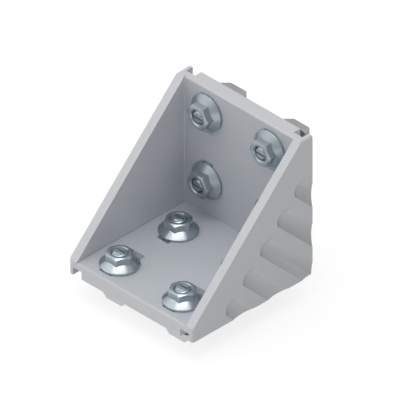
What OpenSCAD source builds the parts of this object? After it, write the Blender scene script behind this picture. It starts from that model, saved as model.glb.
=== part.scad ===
// Right-angle corner bracket for aluminium T-slot profile, with its eight hammer-head T-bolts
// and eight flange nuts. X runs across the bracket, Y from the free end of the base plate to
// the back contact face, Z up from the contact face of the base. The origin is the middle of
// that face.

/* [Casting] */
// Length of each leg, from its free end to the contact face of the other leg
leg_l = 85.7; // [78:0.1:110]
// How much narrower the bracket is than its profile, which is two groove pitches wide
profile_play = 1.6; // [0.4:0.1:4]
// Thickness of the two slotted plates
plate_t = 8.4; // [7:0.1:10]
// Thickness of the two triangular cheeks
cheek_t = 5.2; // [4.5:0.1:7]
// Rounding of the plates' free edges and of the ends of a cheek's sloping edge
rim_r = 1.1; // [0.6:0.1:2]
// How far below a plate's inner face the sloping edge would meet the free end
slope_drop = 0.3; // [0:0.1:0.6]
// Rounding of the cheeks' outer corners at the free ends
corner_r = 1.5; // [1:0.1:3]
// Fillet in the corners of the pocket
root_r = 0.7; // [0.4:0.1:2]

/* [Relief channels] */
// Width of the rib between a channel and the cheek's outer face
rib_w = 2.8; // [2.5:0.1:4]
// Width of a channel
channel_w = 6.1; // [3:0.1:7]
// Depth of a channel below the contact face
channel_h = 4.6; // [2:0.1:5]

/* [Slots] */
// Distance between the two columns of slots, which is the pitch of the profile's grooves
slot_gauge = 45; // [40:0.5:50]
// Width of a slot
slot_w = 8.4; // [8.2:0.1:9]
// Length of the base's outer slots
base_slot_l = 24.8; // [23:0.1:26]
// Length of the upright's outer slots
upright_slot_l = 23.4; // [22:0.1:26]
// Length of the inner slots of both legs
inner_slot_l = 21.6; // [20:0.1:23]
// Distance from the free end of a leg to its outer slot
slot_inset = 3.9; // [3:0.1:6]
// Distance from the inner slot to the contact face of the other leg
slot_land = 19.4; // [18:0.1:21]

/* [Cheek grooves] */
// Number of grooves on the outside of a cheek
groove_count = 5; // [1:2:5]
// Distance between neighbouring grooves, along the sloping edge
groove_pitch = 17.3; // [14:0.1:18]
// Width of a groove
groove_w = 10.9; // [6:0.1:12]
// Depth of a groove in its middle
groove_h = 1; // [0.4:0.1:1.4]
// Distance from the sloping edge to the round end of a groove
groove_inset = 15.6; // [12:0.1:24]

/* [Flange nuts] */
// Width of the hexagon across its flats
nut_af = 13.2; // [12.5:0.1:14]
// Height of the whole nut
nut_h = 8; // [7:0.1:9]
// Diameter of the flange
flange_d = 21.1; // [18:0.1:21.5]
// Height of the flange at its rim
flange_rim_h = 1.2; // [0.6:0.1:1.5]
// Slope of the flange's cone, in degrees
flange_slope = 35; // [30:1:42]
// Diameter of the flat face on top of the hexagon
nut_face_d = 12; // [11:0.1:12.4]
// Slope of the chamfer between the flat top face and the corners, in degrees
nut_chamfer = 30; // [25:1:35]
// Diameter of the countersink in the top face
countersink_d = 9.6; // [9:0.1:10.4]

/* [T-bolts] */
// Diameter of the shank
bolt_d = 8; // [7.6:0.1:8]
// Length over shank and head
bolt_l = 30; // [29:0.1:32]
// Chamfer at the end of the shank
bolt_chamfer = 1.2; // [0.3:0.1:1.4]
// Length of the head across the profile's groove
head_l = 18.6; // [16:0.1:20]
// Width of the head along the profile's groove
head_w = 8.4; // [8:0.1:10]
// Height of the head
head_h = 4.7; // [4.2:0.1:5.5]
// Chamfer at each end of the head
head_chamfer = 3.8; // [3:0.1:4]
// Rounding of the two corners of the head that turn past the walls of the groove
head_corner_r = 5; // [2:0.1:6]
// Height of the neck that keeps the bolt from turning in the groove
neck_h = 2; // [1:0.1:3.5]
// Width of the screwdriver slot
driver_w = 1.2; // [0.8:0.1:1.6]
// Depth of the screwdriver slot
driver_h = 1.2; // [0.8:0.1:1.6]
// Distance from the contact face to the far side of a head in the base
base_reach = 12.6; // [12:0.1:13]
// Distance from the contact face to the far side of a head in the upright
upright_reach = 14; // [13:0.1:14.5]
// Distance from the start of an outer slot to the bolt in it
outer_seat = 10.6; // [9:0.1:15]
// Distance from the start of an inner slot to the bolt in it
inner_seat = 11.8; // [10:0.1:14]
// How much nearer the free end the fasteners of the upright sit than those of the base
upright_shift = 0.4; // [0:0.1:1]
// Clearance between a shank and the bore of its nut, on each side
thread_gap = 0.05; // [0.02:0.01:0.1]

/* [Hidden] */
$fn = 96;
nut_sides = 6;

// Room that a cutting shape has beyond the face it cuts
over = 1;
half_l = leg_l / 2;
bracket_w = 2 * slot_gauge - profile_play;
inner_slot = leg_l - slot_land - inner_slot_l;
// Where the sloping edge would meet the free end, its height above the contact face is the rise.
// The rounding there touches both, and its centre lies at the toe's height
slope_angle = 45;
rise = plate_t - min(slope_drop, rim_r * (2 - 1 / cos(slope_angle)));
toe_h = rise + rim_r * (1 - 1 / cos(slope_angle));
pocket_w = bracket_w - 2 * cheek_t;
channel_x = bracket_w / 2 - rib_w - channel_w;

// Grooves: the radius of the round bottom, the radius of the round end, which is a little wider
// than the groove so that its wall doesn't touch the groove's edges, and the distance from the
// rear bottom corner of a cheek to the centre of that end
groove_r = (pow(groove_w / 2, 2) + pow(groove_h, 2)) / (2 * groove_h);
groove_end_r = groove_w / 2 + 0.25;
groove_run = (leg_l + rise) * cos(slope_angle) - groove_inset - groove_end_r;

// Fastener stations: name, whether on the upright, distance of the axis from the free end, side
LEFT = -1;
RIGHT = 1;
outer_axis = slot_inset + outer_seat;
inner_axis = inner_slot + inner_seat;
STATIONS = [
    ["base_front_left", false, outer_axis, LEFT],
    ["base_front_right", false, outer_axis, RIGHT],
    ["base_rear_left", false, inner_axis, LEFT],
    ["base_rear_right", false, inner_axis, RIGHT],
    ["upright_upper_left", true, outer_axis - upright_shift, LEFT],
    ["upright_upper_right", true, outer_axis - upright_shift, RIGHT],
    ["upright_lower_left", true, inner_axis - upright_shift, LEFT],
    ["upright_lower_right", true, inner_axis - upright_shift, RIGHT]
];

// Turns an outline of Y and Z into a prism across the bracket
module across(width) {
    rotate([90, 0, 90])
        linear_extrude(width, center = true)
            children();
}

// Turns an outline of X and Z into a prism that runs along Y
module lengthways(length) {
    rotate([90, 0, 0])
        linear_extrude(length, center = true)
            children();
}

// Repeats a feature of the base on the upright, which is its mirror image about the plane
// through the two free ends
module on_upright() {
    translate([0, half_l, half_l])
        mirror([0, 1, 1])
            children();
}

module on_both_legs() {
    children();
    on_upright() children();
}

// What is left of a square outside a round corner, which has its sharp point at the origin
module corner_waste(radius) {
    difference() {
        translate([-over, -over]) square(radius + over);
        translate([radius, radius]) circle(radius);
    }
}

// Side view of a cheek: a right-angled triangle whose slope runs round into both free ends
module cheek_outline() {
    difference() {
        translate([-half_l, 0])
            polygon([[0, 0], [leg_l, 0], [leg_l, leg_l], [leg_l - rise, leg_l], [0, rise]]);
        toe_nick();
        translate([half_l, half_l]) mirror([1, 1]) toe_nick();
    }
}

// What the rounding at the end of the sloping edge takes away
module toe_nick() {
    translate([-half_l, toe_h])
        difference() {
            translate([-over, 0])
                square([over + rim_r * (1 - cos(slope_angle)), rim_r]);
            translate([rim_r, 0]) circle(rim_r);
        }
}

// Plan of the bracket, with round corners at the free end of the base
module plan_outline() {
    difference() {
        square([bracket_w, leg_l], center = true);
        for (side = [LEFT, RIGHT])
            mirror([side > 0 ? 1 : 0, 0])
                translate([-bracket_w / 2, -half_l])
                    corner_waste(corner_r);
    }
}

// The whole wedge before it is hollowed
module wedge() {
    intersection() {
        across(bracket_w) cheek_outline();
        linear_extrude(leg_l) plan_outline();
        on_upright() linear_extrude(leg_l) plan_outline();
    }
}

// The hollow between the cheeks, with a fillet along every inner edge
module pocket() {
    reach = leg_l - plate_t;
    intersection() {
        across(pocket_w)
            rounded_start(reach + over, reach + over);
        linear_extrude(leg_l + over)
            pocket_plan(reach);
        on_upright()
            linear_extrude(leg_l + over)
                pocket_plan(reach);
    }
}

// Side view of the pocket: open at the front and top, round in the inner corner
module rounded_start(length, height) {
    difference() {
        translate([-half_l - over, plate_t]) square([length, height]);
        translate([half_l - plate_t, plate_t])
            mirror([1, 0])
                corner_waste(root_r);
    }
}

// Plan of the pocket: open at the free end, round in the two corners beside the other leg
module pocket_plan(reach) {
    difference() {
        translate([-pocket_w / 2, -half_l - over]) square([pocket_w, reach + over]);
        for (side = [LEFT, RIGHT])
            mirror([side > 0 ? 1 : 0, 0])
                translate([-pocket_w / 2, half_l - plate_t])
                    mirror([0, 1])
                        corner_waste(root_r);
    }
}

// Waste above the round free edge of a plate, between the cheeks
module rim_waste() {
    across(pocket_w)
        translate([-half_l, plate_t])
            mirror([0, 1])
                corner_waste(rim_r);
}

// The two channels in the contact face of a leg, just inside the ribs
module channels() {
    for (side = [LEFT, RIGHT])
        mirror([side < 0 ? 1 : 0, 0, 0])
            translate([channel_x, -half_l - over, -over])
                cube([channel_w, leg_l + 2 * over, channel_h + over]);
}

// The four slots of a leg, whose outer ones have the given length
module slots(outer_slot_l) {
    for (side = [LEFT, RIGHT], slot = [[slot_inset, outer_slot_l], [inner_slot, inner_slot_l]])
        translate([side * slot_gauge / 2 - slot_w / 2, slot[0] - half_l, -over])
            cube([slot_w, slot[1], plate_t + 2 * over]);
}

// One groove on the plane z = 0, open towards +Y, with its round end about the origin
module groove() {
    length = groove_run + groove_w;
    intersection() {
        translate([0, length, groove_r - groove_h])
            rotate([90, 0, 0])
                cylinder(h = length + groove_w, r = groove_r);
        translate([0, 0, -groove_h - over])
            linear_extrude(groove_h + 2 * over) {
                circle(groove_end_r);
                translate([-groove_w, 0]) square([2 * groove_w, length + over]);
            }
    }
}

// The grooves of both cheeks, square to the sloping edge, the middle one into the rear corner
module cheek_grooves() {
    last = (groove_count - 1) / 2;
    for (side = [LEFT, RIGHT], i = [-last : last])
        mirror([side < 0 ? 1 : 0, 0, 0])
            translate([bracket_w / 2, half_l, 0])
                rotate([slope_angle, 0, 0])
                    translate([0, i * groove_pitch, groove_run])
                        rotate([90, 0, 90])
                            rotate([0, 0, 180])
                                groove();
}

// The casting is one piece: two slotted plates at a right angle and two cheeks
module bracket() {
    color([0.78, 0.79, 0.81])
        difference() {
            wedge();
            pocket();
            on_both_legs() {
                rim_waste();
                channels();
            }
            slots(base_slot_l);
            on_upright() slots(upright_slot_l);
            cheek_grooves();
        }
}

// Puts a fastener on its station: its axis is Z, and z = 0 is the contact face
module at_station(s) {
    if (s[1])
        on_upright() on_base(s) children();
    else
        on_base(s) children();
}

module on_base(s) {
    translate([s[3] * slot_gauge / 2, s[2] - half_l, 0]) children();
}

// Plan of the neck or the head, with two corners rounded so that it can turn in the groove
module turning_outline(length, width, radius) {
    difference() {
        square([length, width], center = true);
        for (end = [0, 180])
            rotate([0, 0, end])
                translate([length / 2, -width / 2])
                    mirror([1, 0])
                        corner_waste(radius);
    }
}

// A T-bolt whose head ends at the given distance below the contact face
module t_bolt(reach) {
    end_z = bolt_l - reach;
    color([0.62, 0.64, 0.66])
        difference() {
            union() {
                translate([0, 0, -reach + head_h / 2])
                    cylinder(h = bolt_l - head_h / 2 - bolt_chamfer, d = bolt_d);
                translate([0, 0, end_z - bolt_chamfer])
                    cylinder(h = bolt_chamfer, d1 = bolt_d, d2 = bolt_d - 2 * bolt_chamfer);
                translate([0, 0, -reach + head_h / 2])
                    linear_extrude(head_h / 2 + neck_h)
                        turning_outline(bolt_d, bolt_d, bolt_d / 2);
                translate([0, 0, -reach]) t_head();
            }
            translate([-bolt_d, -driver_w / 2, end_z - driver_h])
                cube([2 * bolt_d, driver_w, driver_h + over]);
        }
}

// The hammer head, standing on its far side
module t_head() {
    intersection() {
        lengthways(head_w)
            polygon([
                [head_chamfer - head_l / 2, 0], [head_l / 2 - head_chamfer, 0],
                [head_l / 2, head_chamfer], [head_l / 2, head_h],
                [-head_l / 2, head_h], [-head_l / 2, head_chamfer]
            ]);
        linear_extrude(head_h) turning_outline(head_l, head_w, head_corner_r);
    }
}

// A hexagon nut with a conical flange, standing on the flange, its corners along X
module flange_nut() {
    corner_d = nut_af / cos(180 / nut_sides);
    bore_d = bolt_d + 2 * thread_gap;
    color([0.58, 0.62, 0.66])
        difference() {
            union() {
                intersection() {
                    cylinder(h = nut_h, d = corner_d, $fn = nut_sides);
                    chamfer_cone();
                }
                cylinder(h = flange_rim_h, d = flange_d);
                translate([0, 0, flange_rim_h])
                    flange_cone();
            }
            translate([0, 0, -over]) cylinder(h = nut_h + 2 * over, d = bore_d);
            countersink(bore_d);
        }
}

// The cone from the rim of the flange up into the hexagon, cut off inside the hexagon
module flange_cone() {
    outer_r = flange_d / 2;
    inner_r = (nut_face_d - over) / 2;
    cylinder(h = (outer_r - inner_r) * tan(flange_slope), r1 = outer_r, r2 = inner_r);
}

// The cone that cuts the corners of the hexagon and leaves its flat top face
module chamfer_cone() {
    face_r = nut_face_d / 2;
    cylinder(h = nut_h, r1 = face_r + nut_h / tan(nut_chamfer), r2 = face_r);
}

module countersink(bore_d) {
    drop = (countersink_d - bore_d) / 2;
    translate([0, 0, nut_h - drop])
        cylinder(h = drop, d1 = bore_d, d2 = countersink_d);
    translate([0, 0, nut_h])
        cylinder(h = over, d = countersink_d);
}

bracket();
for (s = STATIONS) {
    at_station(s) t_bolt(s[1] ? upright_reach : base_reach);
    at_station(s) translate([0, 0, plate_t]) flange_nut();
}
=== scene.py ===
"""A corner bracket for T-slot profile with its T-bolts and flange nuts, dressed for rendering."""
import math

import bmesh
import bpy
from mathutils import Matrix, Vector


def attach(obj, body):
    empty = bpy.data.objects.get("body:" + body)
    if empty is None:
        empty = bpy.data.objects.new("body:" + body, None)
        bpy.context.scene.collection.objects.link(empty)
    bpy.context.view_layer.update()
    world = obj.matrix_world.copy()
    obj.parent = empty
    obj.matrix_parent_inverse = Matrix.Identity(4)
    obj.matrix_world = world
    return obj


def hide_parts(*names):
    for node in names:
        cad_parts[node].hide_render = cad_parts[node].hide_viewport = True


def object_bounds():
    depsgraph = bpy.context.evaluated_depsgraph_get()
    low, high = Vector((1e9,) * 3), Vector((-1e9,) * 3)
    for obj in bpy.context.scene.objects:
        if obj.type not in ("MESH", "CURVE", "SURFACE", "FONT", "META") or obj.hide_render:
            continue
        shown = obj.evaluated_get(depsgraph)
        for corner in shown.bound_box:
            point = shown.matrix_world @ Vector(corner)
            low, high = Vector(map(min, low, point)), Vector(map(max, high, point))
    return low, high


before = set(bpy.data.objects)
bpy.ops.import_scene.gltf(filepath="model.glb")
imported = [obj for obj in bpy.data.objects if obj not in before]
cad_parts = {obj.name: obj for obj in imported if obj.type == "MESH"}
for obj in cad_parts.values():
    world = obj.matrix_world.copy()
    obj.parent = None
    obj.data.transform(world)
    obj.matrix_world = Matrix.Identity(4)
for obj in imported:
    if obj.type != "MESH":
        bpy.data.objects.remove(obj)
cad_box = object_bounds()

MM = 0.001

# Sizes of the fasteners in millimetres, as in the part's source
BOLT_D = 8.0
BOLT_L = 30.0
BOLT_CHAMFER = 1.2
HEAD_L = 18.6
HEAD_W = 8.4
HEAD_H = 4.7
HEAD_CHAMFER = 3.8
HEAD_CORNER_R = 5.0
NECK_H = 2.0
DRIVER_W = 1.2
DRIVER_H = 1.2
NUT_AF = 13.2
NUT_H = 8.0
NUT_FACE_D = 12.0
NUT_CHAMFER = math.radians(30)
FLANGE_D = 21.1
FLANGE_RIM_H = 1.2
FLANGE_SLOPE = math.radians(35)
COUNTERSINK_D = 9.6
THREAD_GAP = 0.05
BORE_D = BOLT_D + 2 * THREAD_GAP

# Sizes in millimetres of what only this script makes: the thread, the plain stretch between it and
# the neck, and the finer edges
THREAD_PITCH = 1.25
THREAD_DEPTH = 0.68
THREAD_RUN_OUT = 0.4
NUT_EDGE_R = 0.3
RIM_EDGE_R = 0.35
BORE_CHAMFER = 0.6
CASTING_EDGE = 0.12

# Radius in millimetres of the neck's round corners, where the part's source has that of the shank
NECK_CORNER_R = 3.9

# Sizes of the casting in millimetres, as in the part's source
LEG_L = 85.7
BRACKET_W = 88.4
PLATE_T = 8.4
CHEEK_T = 5.2
RISE = 8.1
GROOVE_PITCH = 17.3
GROOVE_INSET = 15.6
GROOVE_END_R = 5.7

# Places of the fasteners in millimetres, as in the part's source
GAUGE = 45.0
OUTER_AXIS = 14.5
INNER_AXIS = 56.5
UPRIGHT_SHIFT = 0.4
BASE_REACH = 12.6
UPRIGHT_REACH = 14.0

# Facets of a whole turn of a round piece and of the thread, and steps of a small rounding
ROUND_SIDES = 96
THREAD_SIDES = 48
ARC_STEPS = 4

# In millimetres: how far a tool reaches past the face it cuts, and how far apart two faces are
# kept that would otherwise coincide
OVER = 1.0
APART = 0.02

# In metres: points this close are one point where a plane cuts, in a new shape, and after its cuts
ON_PLANE = 1e-7
SAME = 1e-6
HAIR = 0.005 * MM


# Mesh tools

def select_only(obj):
    bpy.ops.object.select_all(action="DESELECT")
    obj.select_set(True)
    bpy.context.view_layer.objects.active = obj


def apply_all(obj):
    """Applies every modifier of a piece, and its place."""
    select_only(obj)
    for modifier in list(obj.modifiers):
        bpy.ops.object.modifier_apply(modifier=modifier.name)
    bpy.ops.object.transform_apply(location=True, rotation=True, scale=True)
    return obj


def added(name):
    obj = bpy.context.object
    obj.name = name
    return obj


def edit(obj, step):
    """Runs a step in edit mode on a piece, with nothing selected at the start."""
    select_only(obj)
    bpy.ops.object.mode_set(mode="EDIT")
    bpy.ops.mesh.select_all(action="DESELECT")
    step()
    bpy.ops.object.mode_set(mode="OBJECT")
    return obj


def select_edges(obj, test):
    """Selects the edges of the edited piece that pass a test."""
    bpy.ops.mesh.select_mode(type="EDGE")
    bpy.ops.mesh.select_all(action="DESELECT")
    mesh = bmesh.from_edit_mesh(obj.data)
    for edge in mesh.edges:
        if test(edge):
            edge.select_set(True)
    mesh.select_flush_mode()
    bmesh.update_edit_mesh(obj.data)


def middle(edge):
    return (edge.verts[0].co + edge.verts[1].co) / 2


def lies_along(edge, axis):
    run = edge.verts[1].co - edge.verts[0].co
    return abs(run[axis]) > 0.999 * run.length


def is_upright(edge):
    return lies_along(edge, 2)


def side_product(edge):
    place = middle(edge)
    return place.x * place.y


def cut(obj, tool, operation="DIFFERENCE"):
    """Cuts a piece with a tool, or joins them, and deletes the tool."""
    modifier = obj.modifiers.new("cut", "BOOLEAN")
    modifier.operation = operation
    modifier.solver = "EXACT"
    modifier.object = tool
    apply_all(obj)
    bpy.data.objects.remove(tool)


def ease(obj, width):
    """Rounds a piece's sharp edges a little and keeps its faces flat."""
    bevel = obj.modifiers.new("eased edges", "BEVEL")
    bevel.width = width * MM
    bevel.segments = 2
    bevel.limit_method = "ANGLE"
    bevel.angle_limit = math.radians(28)
    bevel.use_clamp_overlap = True
    bevel.miter_outer = "MITER_ARC"
    bevel.harden_normals = True
    return apply_all(obj)


def smooth(obj, angle):
    """Merges what the cuts left a hair apart, and shades round stretches smooth."""
    def merge():
        bpy.ops.mesh.select_all(action="SELECT")
        bpy.ops.mesh.remove_doubles(threshold=HAIR)
        bpy.ops.mesh.dissolve_degenerate(threshold=HAIR)
        bpy.ops.mesh.vert_connect_concave()
        bpy.ops.mesh.dissolve_degenerate(threshold=HAIR)

    edit(obj, merge)
    bpy.ops.object.shade_smooth_by_angle(angle=math.radians(angle))
    return obj


def cylinder(name, radius, bottom, top):
    bpy.ops.mesh.primitive_cylinder_add(
        vertices=ROUND_SIDES, radius=radius * MM, depth=(top - bottom) * MM,
        location=(0, 0, (top + bottom) / 2 * MM))
    return apply_all(added(name))


def block(name, low, high):
    bpy.ops.mesh.primitive_cube_add(
        size=1, location=[(a + b) / 2 * MM for a, b in zip(low, high)],
        scale=[(b - a) * MM for a, b in zip(low, high)])
    return apply_all(added(name))


def drawing(name):
    """A small plane, whose mesh is then replaced by what is drawn."""
    bpy.ops.mesh.primitive_plane_add(size=1 * MM)
    return added(name)


def draw_line(obj, points):
    """Leaves the edited mesh with an open line through points of radius and height, in X and Z."""
    bpy.ops.mesh.select_all(action="SELECT")
    bpy.ops.mesh.delete(type="VERT")
    mesh = bmesh.from_edit_mesh(obj.data)
    corners = [mesh.verts.new((r * MM, 0, z * MM)) for r, z in points]
    for a, b in zip(corners, corners[1:]):
        mesh.edges.new((a, b))
    bmesh.update_edit_mesh(obj.data)


def lathe(name, outline):
    """Spins an outline of radius and height, whose ends lie on the axis, into a closed piece."""
    obj = drawing(name)

    def spin():
        draw_line(obj, outline)
        bpy.ops.mesh.select_all(action="SELECT")
        bpy.ops.mesh.spin(steps=ROUND_SIDES, angle=math.tau, center=(0, 0, 0), axis=(0, 0, 1))
        bpy.ops.mesh.select_all(action="SELECT")
        bpy.ops.mesh.remove_doubles(threshold=SAME)
        bpy.ops.mesh.normals_make_consistent(inside=False)

    return edit(obj, spin)


def arc(centre_r, centre_z, radius, first, last):
    """Points of an outline along an arc between two directions in degrees, 0 outward and 90 upward."""
    turns = [math.radians(first + (last - first) * i / ARC_STEPS) for i in range(ARC_STEPS + 1)]
    return [(centre_r + radius * math.cos(t), centre_z + radius * math.sin(t)) for t in turns]


# Casting

def make_casting():
    """The casting, from the frame's solid, with its edges eased as tumbling leaves them."""
    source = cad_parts["bracket"]
    obj = bpy.data.objects.new("casting", source.data.copy())
    bpy.context.scene.collection.objects.link(obj)
    obj.data.materials.clear()

    def merge():
        bpy.ops.mesh.select_all(action="SELECT")
        bpy.ops.mesh.remove_doubles(threshold=SAME)
        bpy.ops.mesh.dissolve_limited(angle_limit=math.radians(0.4))

    edit(obj, merge)
    return ease(obj, CASTING_EDGE)


# T-bolts

def thread_rod(name, radius, bottom, top):
    """A rod with a single-start thread, made as a toothed line that is screwed along the axis."""
    crest = THREAD_PITCH / 8
    root = THREAD_PITCH / 4
    flank = (THREAD_PITCH - crest - root) / 2
    inner = radius - THREAD_DEPTH
    tooth = [(inner, 0), (inner, root), (radius, root + flank), (radius, root + flank + crest),
             (inner, THREAD_PITCH)]
    turns_below = 2
    start = bottom - turns_below * THREAD_PITCH
    obj = drawing(name)
    edit(obj, lambda: draw_line(obj, [(r, start + z) for r, z in tooth]))
    screw = obj.modifiers.new("thread", "SCREW")
    screw.axis = "Z"
    screw.steps = screw.render_steps = THREAD_SIDES
    screw.screw_offset = THREAD_PITCH * MM
    screw.iterations = math.ceil((top - bottom) / THREAD_PITCH) + turns_below + 1
    screw.use_merge_vertices = False
    screw.use_normal_calculate = True
    apply_all(obj)

    def close():
        bpy.ops.mesh.select_all(action="SELECT")
        bpy.ops.mesh.remove_doubles(threshold=SAME)
        for height, upper in ((bottom, False), (top, True)):
            bpy.ops.mesh.select_all(action="SELECT")
            bpy.ops.mesh.bisect(plane_co=(0, 0, height * MM), plane_no=(0, 0, 1), use_fill=True,
                                clear_inner=not upper, clear_outer=upper, threshold=ON_PLANE)
        bpy.ops.mesh.select_all(action="SELECT")
        bpy.ops.mesh.normals_make_consistent(inside=False)

    return edit(obj, close)


def turning_block(name, length, width, bottom, top, radius, hand):
    """A block that is round at the two corners that turn past the walls of the profile's groove.

    The hand is the sign of x times y at those corners.
    """
    obj = block(name, (-length / 2, -width / 2, bottom), (length / 2, width / 2, top))

    def round_two_corners():
        select_edges(obj, lambda e: is_upright(e) and side_product(e) * hand > 0)
        bpy.ops.mesh.bevel(offset=radius * MM, offset_type="OFFSET", segments=12, affect="EDGES")

    return edit(obj, round_two_corners)


def make_t_bolt(name, reach, hand):
    """A T-bolt along Z whose head ends at the given distance below the contact face.

    The hand is the sign of x times y at the corners that are round.
    """
    end = BOLT_L - reach
    under = HEAD_H - reach
    shank_r = BOLT_D / 2
    bolt = thread_rod(name, shank_r, under + NECK_H, end)
    chamfered = [(0, under), (shank_r + OVER, under), (shank_r + OVER, end - BOLT_CHAMFER - OVER),
                 (shank_r - BOLT_CHAMFER, end), (0, end)]
    cut(bolt, lathe("blank", chamfered), "INTERSECT")
    cut(bolt, cylinder("core", shank_r - APART, under - OVER, under + NECK_H + THREAD_RUN_OUT), "UNION")
    neck = turning_block("neck", BOLT_D, BOLT_D, under - OVER, under + NECK_H, NECK_CORNER_R, hand)
    cut(bolt, neck, "UNION")
    head = block("head", (-HEAD_L / 2, -HEAD_W / 2, -reach), (HEAD_L / 2, HEAD_W / 2, under))

    def chamfer_ends():
        select_edges(head, lambda e: lies_along(e, 1) and middle(e).z < (under - OVER) * MM)
        bpy.ops.mesh.bevel(offset=HEAD_CHAMFER * MM, offset_type="OFFSET", segments=1, affect="EDGES")

    edit(head, chamfer_ends)
    plan = turning_block("plan", HEAD_L, HEAD_W, -reach - OVER, under + OVER, HEAD_CORNER_R, hand)
    cut(head, plan, "INTERSECT")
    cut(bolt, head, "UNION")
    driver = block("driver", (-BOLT_D, -DRIVER_W / 2, end - DRIVER_H), (BOLT_D, DRIVER_W / 2, end + OVER))
    cut(bolt, driver)
    return smooth(bolt, 30)


# Flange nuts

def make_flange_nut(name):
    """A flange nut that stands on its flange at z = 0, with its corners along X."""
    corner_r = NUT_AF / 2 / math.cos(math.pi / 6)
    face_r = NUT_FACE_D / 2
    bpy.ops.mesh.primitive_cylinder_add(vertices=6, radius=corner_r * MM, depth=NUT_H * MM,
                                        location=(0, 0, NUT_H / 2 * MM), rotation=(0, 0, math.pi / 6))
    nut = apply_all(added(name))

    def ease_corners():
        select_edges(nut, is_upright)
        bpy.ops.mesh.bevel(offset=NUT_EDGE_R * MM, offset_type="OFFSET", segments=4, affect="EDGES")

    edit(nut, ease_corners)
    dome_r = corner_r + OVER
    drop = (dome_r - face_r) * math.tan(NUT_CHAMFER)
    dome = [(0, -OVER), (dome_r, -OVER), (dome_r, NUT_H - drop), (face_r, NUT_H), (0, NUT_H)]
    cut(nut, lathe("dome", dome), "INTERSECT")
    cut(nut, lathe("flange", flange_outline(face_r - OVER / 2)), "UNION")
    bore_r = BORE_D / 2
    foot_r = bore_r + BORE_CHAMFER
    sink = COUNTERSINK_D / 2 - bore_r
    bore = [(0, -OVER), (foot_r, -OVER), (foot_r, 0), (bore_r, BORE_CHAMFER), (bore_r, NUT_H - sink),
            (bore_r + sink, NUT_H), (bore_r + sink, NUT_H + OVER), (0, NUT_H + OVER)]
    cut(nut, lathe("bore", bore))
    return smooth(nut, 25)


def flange_outline(inner_r):
    """Outline of the conical flange, whose slope ends inside the hexagon at the given radius."""
    rim_r = FLANGE_D / 2
    slope = math.degrees(FLANGE_SLOPE)
    crown_z = FLANGE_RIM_H - RIM_EDGE_R * math.tan((math.pi / 2 - FLANGE_SLOPE) / 2)
    inner_z = FLANGE_RIM_H + (rim_r - inner_r) * math.tan(FLANGE_SLOPE)

    # The outline ends on the axis at any height inside the hexagon, because the bore goes there
    middle_z = FLANGE_RIM_H + 3
    return [(0, 0), *arc(rim_r - RIM_EDGE_R, RIM_EDGE_R, RIM_EDGE_R, -90, 0),
            *arc(rim_r - RIM_EDGE_R, crown_z, RIM_EDGE_R, 0, 90 - slope), (inner_r, inner_z), (0, middle_z)]


# Places

def placed(master, name, matrix):
    """A copy of a piece with its own mesh, whose place is in its mesh."""
    obj = bpy.data.objects.new(name, master.data.copy())
    bpy.context.scene.collection.objects.link(obj)
    obj.data.transform(matrix)
    return obj


def stations():
    """Name of each station, whether it is on the upright, and the matrix of a fastener there."""
    half = LEG_L / 2
    sides = (("left", -1), ("right", 1))
    for row, distance in (("front", OUTER_AXIS), ("rear", INNER_AXIS)):
        for side, sign in sides:
            at = Vector((sign * GAUGE / 2, distance - half, 0)) * MM
            yield f"base_{row}_{side}", False, Matrix.Translation(at)
    turn = Matrix.Rotation(math.pi / 2, 4, "X")
    for row, distance in (("upper", OUTER_AXIS), ("lower", INNER_AXIS)):
        for side, sign in sides:
            at = Vector((sign * GAUGE / 2, half, LEG_L - distance + UPRIGHT_SHIFT)) * MM
            yield f"upright_{row}_{side}", True, Matrix.Translation(at) @ turn


# Materials

class Value:
    """A socket of a node tree, whose operators add Math nodes."""

    def __init__(self, graph, socket):
        self.graph = graph
        self.socket = socket

    def math(self, operation, *others):
        """A Math node that has this value first."""
        return self.graph.math(operation, self, *others)

    def __add__(self, other):
        return self.math("ADD", other)

    def __radd__(self, other):
        return self.graph.math("ADD", other, self)

    def __sub__(self, other):
        return self.math("SUBTRACT", other)

    def __rsub__(self, other):
        return self.graph.math("SUBTRACT", other, self)

    def __mul__(self, other):
        return self.math("MULTIPLY", other)

    def __rmul__(self, other):
        return self.graph.math("MULTIPLY", other, self)


class Graph:
    """A node tree under construction."""

    def __init__(self, tree):
        self.tree = tree

    def node(self, kind, settings=None, values=None, output=0):
        """A node of a kind, whose settings come before the values or links of its inputs."""
        node = self.tree.nodes.new("ShaderNode" + kind)
        for key, value in (settings or {}).items():
            setattr(node, key, value)
        for key, value in (values or {}).items():
            self.feed(node.inputs[key], value)
        return Value(self, node.outputs[output])

    def feed(self, socket, value):
        if isinstance(value, Value):
            self.tree.links.new(value.socket, socket)
        else:
            socket.default_value = value

    def math(self, operation, *values):
        return self.node("Math", {"operation": operation}, dict(enumerate(values)))

    def along(self, vector, way):
        return self.node("VectorMath", {"operation": "DOT_PRODUCT"}, {0: vector, 1: way}, "Value")


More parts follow.
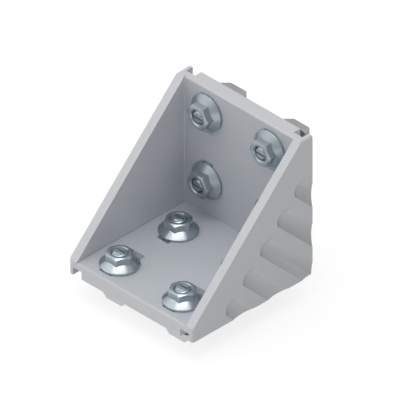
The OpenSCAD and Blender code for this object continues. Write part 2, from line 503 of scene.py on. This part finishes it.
class Paint(Graph):
    """A material under construction."""

    def __init__(self, name):
        self.material = bpy.data.materials.new(name)
        self.material.use_nodes = True
        super().__init__(self.material.node_tree)
        self.shader = self.tree.nodes["Principled BSDF"]
        self.place = self.node("TexCoord", output="Object")

    def set(self, **values):
        for key, value in values.items():
            self.feed(self.shader.inputs[key.replace("_", " ")], value)

    def noise(self, size, detail, rough=0.5):
        """Smooth noise around 0.5 with features of the given size in millimetres."""
        return self.node("TexNoise", values={
            "Vector": self.place, "Scale": 1 / (size * MM), "Detail": detail, "Roughness": rough})

    def split(self, vector):
        return [self.node("SeparateXYZ", values={"Vector": vector}, output=axis) for axis in "XYZ"]

    def normal(self):
        return self.split(self.node("TexCoord", output="Normal"))

    def ramp(self, value, low, high):
        """0 up to the low value, 1 from the high one on, and smooth between them."""
        return self.node("MapRange", {"interpolation_type": "SMOOTHSTEP"},
                         {"Value": value, "From Min": low, "From Max": high})

    def mix(self, amount, first, second, blend="MIX"):
        return self.node("Mix", {"data_type": "RGBA", "blend_type": blend},
                         {0: amount, 6: first, 7: second}, 2)

    def bump(self, height, depth, strength):
        """Bump whose height, from 0 to 1, stands for a depth in millimetres."""
        return self.node("Bump", values={"Height": height, "Distance": depth * MM, "Strength": strength},
                         output="Normal")


def colour(red, green, blue):
    return (red, green, blue, 1)


# What the tone of the casting is multiplied by, as painted shade on the plates in the pocket and on the
# outsides of the cheeks, and as painted light on the cheeks in the pocket and in the slots
PAINTED_SHADE_AND_LIGHT_TINTS = {
    "plates": colour(0.87, 0.895, 0.92),
    "cheeks": colour(1.09, 1.1, 1.12),
    "slots": colour(1.42, 1.45, 1.49),
    "outsides": colour(0.935, 0.945, 0.945),
}


def cast_aluminium():
    """Die-cast aluminium after tumbling: a light satin grey with a fine grain.

    Painted shade darkens the grooves and the plates in the pocket, most of all in the roots of the base,
    and a little the outsides of the cheeks; painted light makes the insides of the cheeks and of the slots
    lighter.
    """
    paint = Paint("cast aluminium")
    cloud = paint.noise(18, 3)
    grain = paint.noise(0.35, 3, 0.6)
    tone = paint.mix(cloud * 0.7 + grain * 0.3, colour(0.565, 0.575, 0.595), colour(0.63, 0.642, 0.665))
    masks = painted_shade_and_light_masks(paint)
    # Painted shade and painted light: each tint darkens or lightens the faces its mask picks out
    for face, tint in PAINTED_SHADE_AND_LIGHT_TINTS.items():
        tone = paint.mix(masks[face], tone, tint, "MULTIPLY")
    # Painted shade: the grooves and the roots of the base are mixed towards black
    tone = paint.mix(painted_groove_shade(paint) + masks["roots"] * 0.3, tone, colour(0, 0, 0))
    paint.set(Base_Color=tone, Metallic=0.15, Roughness=0.47 + cloud * 0.1 + grain * 0.1,
              Normal=paint.bump(grain * 0.7 + paint.noise(1.6, 2) * 0.3, 0.02, 0.5))
    return paint.material


def painted_shade_and_light_masks(paint):
    """Masks of the painted shade and light, by the names of the tints, and of the painted shade in the
    roots: 1 on those faces and 0 elsewhere.
    """
    x, y, z = paint.split(paint.place)
    facing = [axis * axis for axis in paint.normal()]
    side = x.math("ABSOLUTE")
    cheek = (BRACKET_W / 2 - CHEEK_T) * MM
    back = (LEG_L / 2 - PLATE_T) * MM

    # The pocket ends at the cheeks, at the face of the upright and at that of the base
    behind = paint.ramp(y, back + 0.1 * MM, back + 0.3 * MM)
    below = 1 - paint.ramp(z, (PLATE_T - 0.3) * MM, (PLATE_T - 0.1) * MM)
    between = 1 - paint.ramp(side, cheek + 0.1 * MM, cheek + 0.4 * MM)
    pocket = (1 - behind) * (1 - below) * between

    # The walls inside the slots don't face the way their plate does. They reach no further out than
    # this in millimetres, and keep this far from the plates' free edges
    slot_reach = 35
    edge = 1
    # The walls inside the slots get painted light
    walls = below * (1 - behind) * (1 - facing[2]) + behind * (1 - below) * (1 - facing[1])
    clear_of_edges = (side.math("LESS_THAN", slot_reach * MM)
                      * y.math("GREATER_THAN", (edge - LEG_L / 2) * MM)
                      * z.math("LESS_THAN", (LEG_L - edge) * MM))

    # The roots, which get painted shade, are where the face of the base runs up to the cheeks and to the
    # upright
    near_cheek = paint.ramp(side, cheek - 1 * MM, cheek - 0.2 * MM)
    near_upright = paint.ramp(y, back - 1 * MM, back - 0.2 * MM)
    near_base = 1 - paint.ramp(z, (PLATE_T + 0.2) * MM, (PLATE_T + 1) * MM)
    return {
        "plates": pocket * (1 - facing[0]),
        "cheeks": pocket * paint.ramp(facing[0], 0.6, 0.9),
        "slots": walls * clear_of_edges,
        "outsides": paint.ramp(side, (BRACKET_W / 2 - 0.2) * MM, (BRACKET_W / 2 - 0.05) * MM),
        "roots": pocket * near_base * near_cheek.math("MAXIMUM", near_upright * 0.5),
    }


def painted_groove_shade(paint):
    """How much painted shade darkens the grooves of the cheeks, more on the flank that faces back and up,
    and most of all at their round ends.
    """
    x, y, z = paint.split(paint.place)
    normal = paint.normal()
    slant = math.sqrt(0.5)

    # Place along the sloping edge, and distance inward from it
    run = (y + z + (LEG_L / 2 - RISE) * MM) * slant
    inward = (y - z + (LEG_L / 2 + RISE) * MM) * slant

    # Place across the nearest groove, and how far into its round end
    middle_run = (LEG_L - RISE) * slant
    across = run.math("WRAP", (middle_run + GROOVE_PITCH / 2) * MM, (middle_run - GROOVE_PITCH / 2) * MM)
    across = across - middle_run * MM
    beyond = (inward - (GROOVE_INSET + GROOVE_END_R) * MM).math("MINIMUM", 0.0)
    reach = (across * across + beyond * beyond).math("SQRT")
    end = paint.ramp(reach, (GROOVE_END_R - 3) * MM, GROOVE_END_R * MM)
    end = end * paint.ramp(0 - beyond, 0, 1.5 * MM)

    # Only what lies a little under a cheek's outer face and looks outward is inside a groove
    depth = BRACKET_W / 2 * MM - x.math("ABSOLUTE")
    inside = paint.ramp(depth, 0, 0.15 * MM) * (1 - paint.ramp(depth, 1.5 * MM, 2 * MM))
    inside = inside * paint.ramp(normal[0] * normal[0], 0.55, 0.7)
    inside = inside * paint.ramp(inward, (GROOVE_INSET - 0.6) * MM, GROOVE_INSET * MM)
    # Painted shade: some all over the groove, more where it faces back and up, and more at the round end
    return inside * (0.14 + (normal[1] + normal[2]) * slant * 0.42 + end * 0.16)


def bright_zinc():
    """Bright zinc plating with a cool tint, for the nuts, duller on those of the upright."""
    paint = Paint("bright zinc")
    cloud = paint.noise(4, 3)
    z = paint.split(paint.place)[2]
    high = paint.ramp(z, 2 * PLATE_T * MM, 3 * PLATE_T * MM)
    tone = paint.mix(cloud, colour(0.4, 0.452, 0.493), colour(0.467, 0.52, 0.56))
    paint.set(Base_Color=tone, Metallic=0.95, Roughness=0.18 + high * 0.14 + cloud * 0.08,
              Normal=paint.bump(paint.noise(0.8, 3), 0.012, 0.35))
    return paint.material


def dull_zinc():
    """Plating of the T-bolts: pale on the heads of the base, grey with painted shade on those of the
    upright, and cool on the threads.
    """
    paint = Paint("dull zinc")
    cloud = paint.noise(5, 3)
    y, z = paint.split(paint.place)[1:]
    above = paint.ramp(z, 0, PLATE_T * MM)
    ends = above * (1 - paint.ramp(y, (LEG_L / 2 - PLATE_T) * MM, LEG_L / 2 * MM))
    pale = paint.mix(cloud, colour(0.57, 0.58, 0.595), colour(0.63, 0.64, 0.655))
    shaded_grey = paint.mix(cloud, colour(0.42, 0.43, 0.445), colour(0.47, 0.48, 0.495))
    # Painted shade: the heads on the upright are given a darker grey than those of the base
    tone = paint.mix(ends, paint.mix(above, pale, shaded_grey), colour(0.43, 0.485, 0.52))
    paint.set(Base_Color=tone, Metallic=0.95, Roughness=0.3 - ends * 0.02 + cloud * 0.08,
              Normal=paint.bump(paint.noise(0.6, 3), 0.02, 0.4))
    return paint.material


# Stage, sky and camera

# Width of the floor in metres, its tone for the light, and what the camera sees of it: its own
# glow, and a fainter tone that takes the shadow
FLOOR_SIZE = 6
FLOOR_TONE = colour(0.8, 0.8, 0.8)
FLOOR_GLOW = colour(0.8, 0.8, 0.8)
FLOOR_SHADE = colour(0.25, 0.25, 0.25)


def floor_finish():
    """Pale and matt for the light, and near white for the camera and in reflections."""
    paint = Paint("floor")
    paint.tree.nodes.remove(paint.shader)
    camera, glossy, through = [paint.node("LightPath", output=f"Is {ray} Ray")
                               for ray in ("Camera", "Glossy", "Transmission")]
    direct = camera.math("MAXIMUM", glossy.math("MAXIMUM", through))
    plain = paint.node("BsdfDiffuse", values={"Color": FLOOR_TONE})
    faint = paint.node("BsdfDiffuse", values={"Color": FLOOR_SHADE})
    glow = paint.node("Emission", values={"Color": FLOOR_GLOW, "Strength": 1.0})
    shown = paint.node("AddShader", values={0: faint, 1: glow})
    result = paint.node("MixShader", values={0: direct, 1: plain, 2: shown})
    paint.feed(paint.tree.nodes["Material Output"].inputs["Surface"], result)
    return paint.material


def make_stage():
    lowest = cad_box[0][2]
    bpy.ops.mesh.primitive_plane_add(size=FLOOR_SIZE, location=(0, 0, lowest))
    floor = apply_all(added("floor"))
    floor.data.materials.append(floor_finish())


def direction(azimuth, elevation):
    """Unit vector towards a place round the object: azimuth 0 is the front, 90 the right."""
    a, e = math.radians(azimuth), math.radians(elevation)
    return Vector((math.sin(a) * math.cos(e), -math.cos(a) * math.cos(e), math.sin(e)))


# Strength of the light all round, and of soft patches of light: azimuth and elevation of the middle,
# half their width and height as sines of the angle from it, and strength in the middle
SKY = 0.29
PATCHES = [(-45, 50, 1.0, 1.0, 0.98), (180, 50, 1.0, 1.0, 0.32), (45, 79, 0.5, 0.2, 3.3)]


def make_sky():
    """A plain sky that is brighter where the patches are."""
    world = bpy.data.worlds.new("studio")
    bpy.context.scene.world = world
    world.use_nodes = True
    sky = Graph(world.node_tree)
    way = sky.node("TexCoord", output="Generated")
    glow = SKY
    for azimuth, elevation, width, height, strength in PATCHES:
        centre, side = direction(azimuth, elevation), direction(azimuth + 90, 0)
        across = sky.along(way, side) * (1 / width)
        up = sky.along(way, side.cross(centre)) * (1 / height)
        patch = (1 - across * across - up * up).math("MAXIMUM", 0.0)
        same_half = sky.along(way, centre).math("GREATER_THAN", 0.0)
        glow = glow + patch * same_half * strength
    background = sky.tree.nodes["Background"]
    sky.feed(background.inputs["Strength"], glow)
    sky.feed(background.inputs["Color"], colour(1, 1, 1))


# The photo's parallel view: where it is seen from in degrees, the width it takes in and the place
# in the middle of the picture, and how far off the camera stands, in metres
VIEW_AZIMUTH = 45
VIEW_ELEVATION = 35
VIEW_WIDTH = 0.20216
VIEW_CENTRE = Vector((3.284, 3.284, 45.39)) * MM
VIEW_DISTANCE = 0.8


def make_camera():
    camera = bpy.data.cameras.new("camera")
    camera.type = "ORTHO"
    camera.ortho_scale = VIEW_WIDTH
    obj = bpy.data.objects.new("camera", camera)
    bpy.context.scene.collection.objects.link(obj)
    obj.location = VIEW_CENTRE + direction(VIEW_AZIMUTH, VIEW_ELEVATION) * VIEW_DISTANCE
    obj.rotation_euler = (VIEW_CENTRE - obj.location).to_track_quat("-Z", "Y").to_euler()
    bpy.context.scene.camera = obj
    bpy.context.scene.view_settings.view_transform = "Standard"


# The whole part

def finish_piece(obj, material, node):
    """Gives a piece its finish, hangs it under the root body, and hides the solid of the frame it stands
    for.
    """
    obj.data.materials.clear()
    obj.data.materials.append(material)
    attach(obj, "root")
    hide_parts(node)


def main():
    finish_piece(make_casting(), cast_aluminium(), "bracket")
    nut = make_flange_nut("nut master")
    bolts = {False: make_t_bolt("bolt master base", BASE_REACH, -1),
             True: make_t_bolt("bolt master upright", UPRIGHT_REACH, 1)}
    zinc, dull = bright_zinc(), dull_zinc()
    lift = Matrix.Translation((0, 0, PLATE_T * MM))
    for name, upright, place in stations():
        finish_piece(placed(bolts[upright], "bolt_" + name, place), dull, "t_bolt_" + name)
        finish_piece(placed(nut, "nut_" + name, place @ lift), zinc, "flange_nut_" + name)
    for master in (nut, *bolts.values()):
        bpy.data.objects.remove(master)
    make_stage()
    make_sky()
    make_camera()


main()
